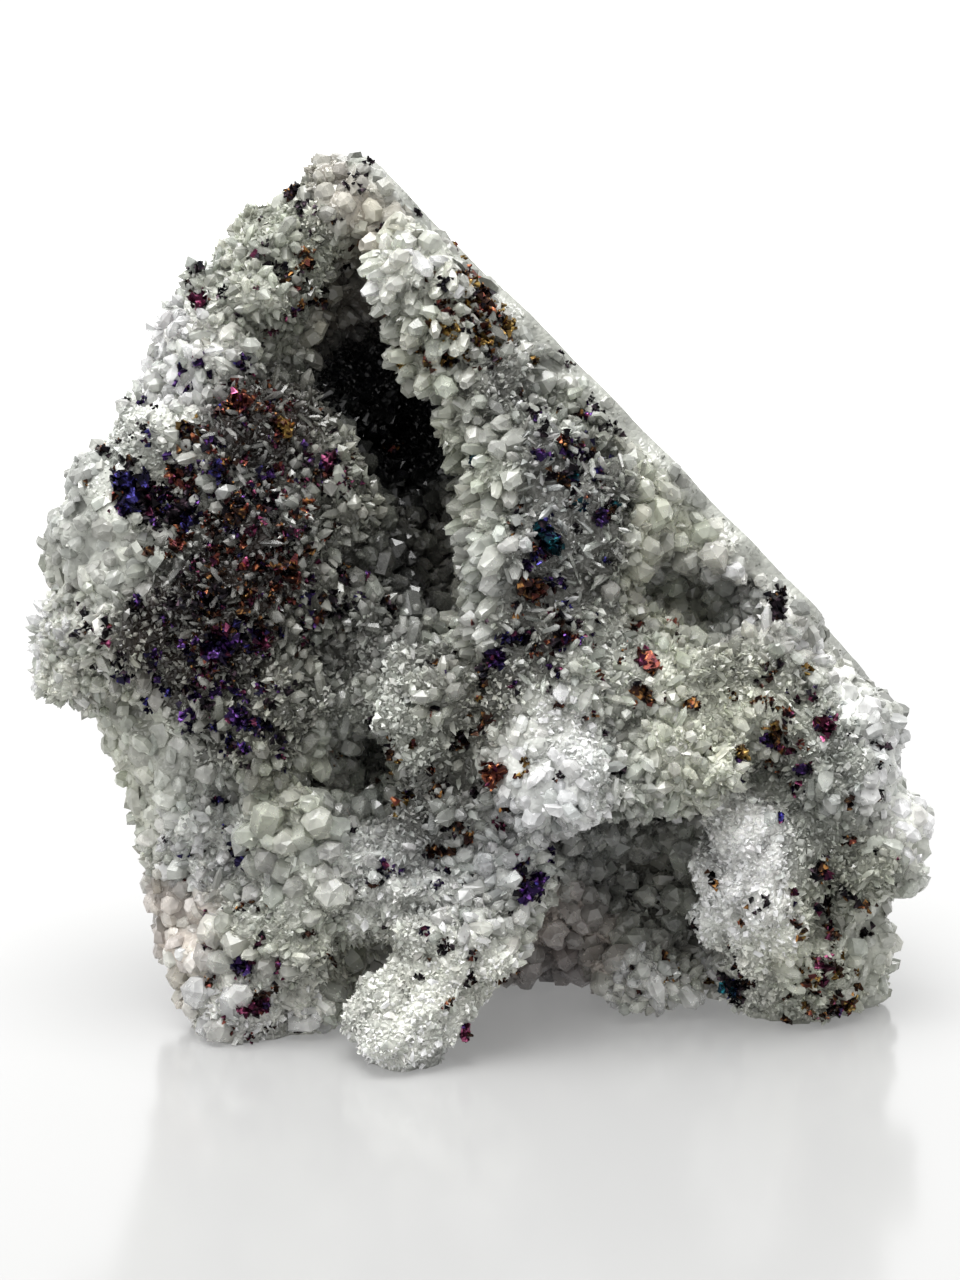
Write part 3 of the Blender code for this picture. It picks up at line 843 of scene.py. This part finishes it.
def crystal_mesh(name, form, points, colours, root_painted_shade=0.0):
    """One mesh of many closed crystals, with one colour a crystal for each colour attribute,
    painted darker at the roots as shade and brighter by each form's glow as rim light.
    """
    # Painted shade at the roots: colours are raised to a higher power towards the root, so roots
    # darken
    depth = 1 + root_painted_shade * (1 - np.clip(form.corners[:, 2], 0, 1) ** 1.5)
    count, corners = points.shape[:2]
    loops = np.array([corner for face in form.faces for corner in face])
    starts = np.cumsum([0] + [len(face) for face in form.faces])[:-1]
    crystal = np.arange(count)[:, None]
    mesh = bpy.data.meshes.new(name)
    mesh.vertices.add(count * corners)
    mesh.vertices.foreach_set("co", points.astype(np.float32).ravel())
    mesh.loops.add(count * len(loops))
    mesh.loops.foreach_set("vertex_index", (loops + crystal * corners).astype(np.int32).ravel())
    mesh.polygons.add(count * len(starts))
    first_loops = starts + crystal * len(loops)
    mesh.polygons.foreach_set("loop_start", first_loops.astype(np.int32).ravel())
    mesh.update(calc_edges=True)
    mesh.shade_flat()
    for layer, values in colours.items():
        attribute = mesh.color_attributes.new(layer, "FLOAT_COLOR", "POINT")
        full = np.ones((count, corners, 4), np.float32)
        # Painted shade at the roots and painted light on the rims, from each form's glow
        full[:, :, :3] = values[:, None] ** depth[:, None] * form.glow[:, None]
        attribute.data.foreach_set("color", full.ravel())
    return mesh


def node_distance(points):
    """How far points are from the nearest larger chalcopyrite crystal, in radii of it."""
    away = np.full(len(points), np.inf)
    for name in frame["nodes"]:
        if name != QUARTZ_NODE:
            low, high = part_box(name)
            middle, radius = np.array((low + high) / 2), (high - low).length / 2
            away = np.minimum(away, np.linalg.norm(points - middle, axis=1) / radius)
    return away


def standing_free(points):
    """True for the crystals inside the box that aren't pressed onto the floor or the sawn side."""
    low, high = (np.array(corner) for corner in CAD_BOX)
    low, high = low - TIP_ALLOWANCE, high + TIP_ALLOWANCE
    inside = (points > low).all((1, 2)) & (points < high).all((1, 2))
    on_floor = (points[:, :, 2] < 0.15 * MM).mean(1) > 0.35
    at_saw = (saw_height(points) > -0.05 * MM).mean(1) > 0.15
    return inside & ~on_floor & ~at_saw


def add_crystals(name, form, points, colours, material, root_painted_shade=0.0):
    points = clip_to_cuts(points)
    keep = standing_free(points)
    points = points[keep]
    colours = {layer: values[keep] for layer, values in colours.items()}
    mesh = crystal_mesh(name, form, points, colours, root_painted_shade)
    mesh.materials.append(material)
    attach(scene_object(name, mesh), "root")


# Operators

class SPECIMEN_OT_mass(bpy.types.Operator):
    """Builds the quartz mass that all the crystals grow on"""

    bl_idname = "specimen.mass"
    bl_label = "Quartz mass"

    def execute(self, context):
        settings = context.scene.quartz_settings
        mesh = frame["nodes"][QUARTZ_NODE].data.copy()
        mesh.materials.clear()
        rough = scene_object("rough_mass", mesh)
        skin = rough.modifiers.new("Skin", "REMESH")
        skin.mode = "VOXEL"
        skin.voxel_size = settings.skin_size
        depsgraph = context.evaluated_depsgraph_get()
        mesh = bpy.data.meshes.new_from_object(rough.evaluated_get(depsgraph))
        bpy.data.objects.remove(rough)
        mesh.name = "quartz_mass"
        self.add_relief(mesh, settings)
        group = bpy.data.node_groups.get("Milky veils") or veil_group()
        finish = quartz_material("milky quartz mass", group, 420, 0.0, 0.2)
        add_facets(finish, 0.85 * MM, 1.0)
        mesh.materials.append(finish)
        mesh.materials.append(sawn_material(group))
        normals = unit(read(mesh.polygons, "normal", 3))
        centres = read(mesh.polygons, "center", 3)
        sawn = (np.abs(saw_height(centres)) < 0.05 * MM) & (normals @ SAW_NORMAL > 0.95)
        mesh.polygons.foreach_set("material_index", sawn.astype(np.int32))
        mesh.polygons.foreach_set("use_smooth", ~sawn)
        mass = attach(scene_object("quartz_mass", mesh), "root")
        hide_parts(QUARTZ_NODE)
        return {"FINISHED"}

    def add_relief(self, mesh, settings):
        """Rounded clusters, except on the sawn side, the worn feet and under large crystals."""
        points = read(mesh.vertices, "co", 3)
        normals = unit(read(mesh.vertices, "normal", 3))
        over = np.abs(saw_height(points)) < 0.8 * settings.skin_size
        sawn = over & (normals @ SAW_NORMAL > 0.5)
        worn = (points[:, 2] < 0.8 * settings.skin_size) & (normals[:, 2] < -0.5)
        crest = np.array([clusters(Vector(point)) for point in points])
        lift = (crest * settings.skin_relief - settings.skin_inset) * ~(sawn | worn)
        lift *= np.clip(-saw_height(points) / SAW_STRIP - 0.2, 0, 1)
        lift *= np.clip(node_distance(points) - 0.7, 0.1, 1)
        points = points + normals * lift[:, None]
        points[sawn] -= saw_height(points[sawn])[:, None] * SAW_NORMAL
        points[worn, 2] = 0
        low, high = (np.array(corner) for corner in CAD_BOX)
        points = clip_to_cuts(np.clip(points, low, high))
        mesh.vertices.foreach_set("co", points.astype(np.float32).ravel())
        mesh.update()


# Where the noise is read that bends the clusters along x, y and z
BEND_SHIFTS = (Vector((9.3, -1.5, -8.0)), Vector((0, 0, 0)), Vector((6.3, 0.2, -2.7)))


def clusters(point):
    """Height of rounded clusters with creases between them, about 0 to 1."""
    bend = Vector([noise.noise(point * 90 + shift) for shift in BEND_SHIFTS])
    bent = point + bend * 2.5 * MM
    return 0.7 * dome(bent * 118) + 0.3 * dome(bent * 290)


def dome(point):
    """0 in the creases between rounded cells to 1 on top of them."""
    nearest, second = noise.voronoi(point)[0][:2]
    return min(1, 1.6 * (second - nearest)) ** 0.6


class SPECIMEN_OT_druse(bpy.types.Operator):
    """Grows the quartz crystals of every habit over the mass"""

    bl_idname = "specimen.druse"
    bl_label = "Quartz crystals"

    def execute(self, context):
        chance = np.random.default_rng(context.scene.quartz_settings.seed)
        mass = bpy.data.objects["quartz_mass"]
        skin = Skin(mass)
        self.paint_mass(mass.data, skin)
        group = bpy.data.node_groups["Milky veils"]
        for habit, rule in HABITS.items():
            finish = quartz_material(habit + " quartz", group, 700, rule.clear, 0.0)
            chosen = np.flatnonzero(skin.free & (skin.habit == habit))
            large = spread(skin.place, rule.spacing * MM, chance.permutation(chosen))
            sizes = (rule.radius, rule.length)
            self.add(habit + "_crystals", FORMS[habit], skin, large, sizes, rule, finish, chance)
            small = chance.choice(chosen, int(len(chosen) * rule.small_share))
            sizes = (rule.small_radius, rule.small_length)
            self.add(habit + "_grains", FORMS["small"], skin, small, sizes, rule, finish, chance)
        return {"FINISHED"}

    def paint_mass(self, mesh, skin):
        """Gives the mass its ground tones, with painted shade in the gaps and hollows, and in the
        alpha how rough its facets are.
        """
        tint = mesh.color_attributes.new("tint", "FLOAT_COLOR", "CORNER")
        full = np.ones((len(mesh.loops), 4), np.float32)
        corners = read(mesh.polygons, "loop_total", 1).astype(int)
        loops = np.repeat(np.arange(len(mesh.polygons)), corners)
        full[:, :3] = skin.ground[loops]
        full[:, 3] = np.where(skin.habit[loops] == "massive", 0.25, 1)
        tint.data.foreach_set("color", full.ravel())

    def add(self, name, form, skin, picked, sizes, rule, finish, chance):
        """Crystals on the picked faces of the skin, more of them small than large."""
        count = len(picked)
        size = chance.beta(1.6, 2.6, count)
        radii = between(sizes[0], size) * MM
        lengths = between(sizes[1], np.clip(size + chance.normal(0, 0.2, count), 0, 1)) * MM
        normals = skin.normal[picked]
        jitter = chance.normal(0, 0.35 * MM, (count, 3))
        jitter -= (jitter * normals).sum(1, keepdims=True) * normals
        places = skin.place[picked] + jitter
        ways = unit(normals + HANG_WAY * rule.hang + chance.normal(0, rule.lean, (count, 3)))
        roots = places - ways * (lengths * rule.sunk)[:, None]
        keep = node_distance(places) > 0.8
        keep &= saw_height(skin.place[picked]) < -(0.5 * radii + 0.2 * MM)
        brightness = chance.uniform(0.72, 1.26, (count, 1))
        tint = skin.tone[picked] * brightness * chance.uniform(0.985, 1.015, (count, 3))
        points = grow(form, roots[keep], ways[keep], radii[keep], lengths[keep], chance)
        tints = {"tint": np.clip(tint[keep], 0, 0.96)}
        add_crystals(name, form, points, tints, finish, rule.depth)


class SPECIMEN_OT_chalcopyrite(bpy.types.Operator):
    """Gives the larger chalcopyrite crystals their tarnish and sprinkles the small grains"""

    bl_idname = "specimen.chalcopyrite"
    bl_label = "Chalcopyrite"

    def execute(self, context):
        settings = context.scene.chalcopyrite_settings
        chance = np.random.default_rng(settings.seed)
        group = tarnish_group()
        finish = chalcopyrite_material("tarnished grains", group)
        self.add_grains("chalcopyrite_crust", self.crust_rows(group, chance), finish, chance)
        self.add_grains("chalcopyrite_grains", self.cluster_rows(settings, chance), finish, chance)
        return {"FINISHED"}

    def crust_rows(self, group, chance):
        """Tarnishes each larger crystal; rows of the small crystals grown into it."""
        finishes = {
            hue: chalcopyrite_material("tarnish " + hue, group, tarnish[:3])
            for hue, tarnish in TARNISH.items()
        }
        rows = []
        for part in frame["record"]["subparts"]:
            hue = part["material_slot"].replace("chalcopyrite_", "")
            if hue not in finishes:
                continue
            mesh = frame["nodes"][part["node"]].data
            mesh.materials.clear()
            mesh.materials.append(finishes[hue])
            area = read(mesh.polygons, "area", 1)
            low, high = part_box(part["node"])
            size = (high - low).length
            number = int(10 + size / MM * 5)
            picked = chance.choice(len(area), number, p=area / area.sum())
            places = read(mesh.polygons, "center", 3)[picked]
            places = places + chance.normal(0, size * 0.05, (number, 3))
            normals = unit(read(mesh.polygons, "normal", 3))[picked]
            radii = size * chance.uniform(0.05, 0.12, number)
            rows.append((places, normals, radii, self.mixed_hues(hue, number, chance)))
        return rows

    def mixed_hues(self, hue, number, chance):
        kin = TARNISH[hue].kin.split()
        return np.where(chance.random(number) < 0.62, hue, chance.choice(kin, number))

    def cluster_rows(self, settings, chance):
        """Rows of star-shaped clusters of small chalcopyrite between the quartz crystals."""
        mass = bpy.data.objects["quartz_mass"].data
        skin, ways = read(mass.polygons, "center", 3), unit(read(mass.polygons, "normal", 3))
        rows = []
        for sprinkle in SPRINKLES.values():
            away = np.linalg.norm(skin - np.array(sprinkle.place) * MM, axis=1)
            share = np.exp(-((away / (sprinkle.spread * MM)) ** 2))
            for root in chance.choice(len(skin), sprinkle.count, p=share / share.sum()):
                number = chance.integers(3, 14)
                hue = chance.choice(sprinkle.hues.split())
                size = between((settings.smallest, settings.largest), chance.beta(1.4, 3.0))
                heart = skin[root] + ways[root] * chance.uniform(0.1, 0.9) * MM
                offsets = chance.normal(0, size * 1.2, (number, 3))
                offsets -= (offsets @ ways[root])[:, None] * ways[root] * 0.6
                normals = np.repeat(ways[root : root + 1], number, 0)
                radii = size * chance.uniform(0.6, 1.2, number)
                hues = self.mixed_hues(hue, number, chance)
                rows.append((heart + offsets, normals, radii, hues))
        return rows

    def add_grains(self, name, rows, finish, chance):
        """One mesh of blunt crystals from rows of places, directions, radii and hues."""
        places, normals, radii, hues = (np.concatenate(column) for column in zip(*rows))
        count = len(places)
        form = sphenoid_form()
        ways = unit(normals + chance.normal(0, 0.8, (count, 3)))
        roots = places - ways * (radii * 0.6)[:, None]
        points = grow(form, roots, ways, radii, radii * 1.8, chance)
        bright = chance.uniform(0.5, 1.5, (count, 1))
        layers = {
            layer: np.array([getattr(TARNISH[hue], layer) for hue in hues]) * bright
            for layer in TARNISH_LAYERS
        }
        add_crystals(name, form, points, layers, finish)


class SPECIMEN_OT_stage(bpy.types.Operator):
    """Sets the white table, the soft light and the camera"""

    bl_idname = "specimen.stage"
    bl_label = "Stage"

    def execute(self, context):
        settings = context.scene.stage_settings
        self.add_floor(settings)
        self.add_surround(settings)
        self.add_softbox("overhead softbox", (-0.05, -0.10, 0.55), 0.35, settings.key_power)
        self.add_softbox("side fill", (-0.5, -0.35, 0.35), 0.4, settings.fill_power)
        self.add_camera(context)
        context.scene.view_settings.view_transform = "Standard"
        return {"FINISHED"}

    def add_floor(self, settings):
        """A glossy white table that melts into the surround with distance."""
        mesh = bpy.data.meshes.new("table")
        half = TABLE_HALF
        corners = [(-half, -half, 0), (half, -half, 0), (half, half, 0), (-half, half, 0)]
        mesh.from_pydata(corners, [], [(0, 1, 2, 3)])
        made, tree, shader = new_material("white table")
        marks = texture(tree, "Noise", Scale=25)
        gloss = ranged(tree, marks.outputs["Fac"], 0, 1, 0.13, 0.17)
        tree.links.new(gloss, shader.inputs["Roughness"])
        plain = {
            "Base Color": (*settings.floor_colour, 1),
            "Emission Color": (0.2, 0.2, 0.2, 1),
            "Emission Strength": 1,
        }
        set_inputs(shader, plain)
        place = tree.nodes.new("ShaderNodeTexCoord")
        away = tree.nodes.new("ShaderNodeVectorMath")
        away.operation = "LENGTH"
        tree.links.new(place.outputs["Object"], away.inputs[0])
        far = mask(tree, away.outputs["Value"], 0.15, 1.1)
        glow = ranged(tree, far, 0, 1, settings.floor_glow, settings.backdrop)
        tree.links.new(glow, shader.inputs["Emission Color"])
        mesh.materials.append(made)
        scene_object("table", mesh)

    def add_surround(self, settings):
        """White to the eye; as a light, brighter above and behind the specimen."""
        world = bpy.data.worlds.new("white surround")
        world.use_nodes = True
        tree = world.node_tree
        nodes, links = tree.nodes, tree.links
        way = nodes.new("ShaderNodeTexCoord").outputs["Generated"]
        above = nodes.new("ShaderNodeVectorMath")
        above.operation = "DOT_PRODUCT"
        above.inputs[1].default_value = (0.0, 0.6, 0.8)
        links.new(way, above.inputs[0])
        dim, full = settings.backdrop * 0.4, settings.backdrop
        bright = ranged(tree, above.outputs["Value"], -0.6, 0.35, dim, full)
        apart = nodes.new("ShaderNodeSeparateXYZ")
        links.new(way, apart.inputs["Vector"])
        backlit = nodes.new("ShaderNodeMath")
        backlit.operation = "MULTIPLY_ADD"
        backlit.inputs[1].default_value = 0.7
        links.new(mask(tree, apart.outputs["Y"], 0.75, 0.98), backlit.inputs[0])
        links.new(bright, backlit.inputs[2])
        path = nodes.new("ShaderNodeLightPath")
        seen = nodes.new("ShaderNodeMix")
        seen.inputs["B"].default_value = settings.backdrop
        links.new(path.outputs["Is Camera Ray"], seen.inputs["Factor"])
        links.new(backlit.outputs["Value"], seen.inputs["A"])
        links.new(seen.outputs["Result"], nodes["Background"].inputs["Strength"])
        nodes["Background"].inputs["Color"].default_value = (1, 1, 1, 1)
        bpy.context.scene.world = world

    def add_softbox(self, name, place, size, power):
        light = bpy.data.lights.new(name, "AREA")
        light.size = size
        light.energy = power
        aim(scene_object(name, light), place, (0, 0, 0.05))

    def add_camera(self, context):
        camera = scene_object("camera", bpy.data.cameras.new("camera"))
        camera.data.lens = CAMERA_LENS
        back = Vector((0, -math.cos(CAMERA_TILT), math.sin(CAMERA_TILT)))
        aim(camera, Vector(CAMERA_TARGET) + back * CAMERA_DISTANCE, CAMERA_TARGET)
        context.scene.camera = camera


def aim(thing, place, target):
    """Moves a light or camera to a place and turns it to a target."""
    thing.location = place
    way = Vector(target) - Vector(place)
    thing.rotation_euler = way.to_track_quat("-Z", "Y").to_euler()


class SPECIMEN_PT_panel(bpy.types.Panel):
    """Lists the specimen's parts and settings"""

    bl_label = "Specimen"
    bl_space_type = "VIEW_3D"
    bl_region_type = "UI"
    bl_category = "Specimen"

    def draw(self, context):
        for settings in ("quartz_settings", "chalcopyrite_settings", "stage_settings"):
            group = getattr(context.scene, settings)
            for name in group.__annotations__:
                self.layout.prop(group, name)
        for operator in OPERATORS:
            self.layout.operator(operator.bl_idname)


OPERATORS = (SPECIMEN_OT_mass, SPECIMEN_OT_druse, SPECIMEN_OT_chalcopyrite, SPECIMEN_OT_stage)
CLASSES = (QuartzSettings, ChalcopyriteSettings, StageSettings, *OPERATORS, SPECIMEN_PT_panel)


def register():
    for made in CLASSES:
        bpy.utils.register_class(made)
    bpy.types.Scene.quartz_settings = PointerProperty(type=QuartzSettings)
    bpy.types.Scene.chalcopyrite_settings = PointerProperty(type=ChalcopyriteSettings)
    bpy.types.Scene.stage_settings = PointerProperty(type=StageSettings)


def unregister():
    del bpy.types.Scene.stage_settings
    del bpy.types.Scene.chalcopyrite_settings
    del bpy.types.Scene.quartz_settings
    for made in reversed(CLASSES):
        bpy.utils.unregister_class(made)


def main():
    register()
    bpy.ops.specimen.mass()
    bpy.ops.specimen.druse()
    bpy.ops.specimen.chalcopyrite()
    bpy.ops.specimen.stage()


if __name__ == "__main__":
    main()
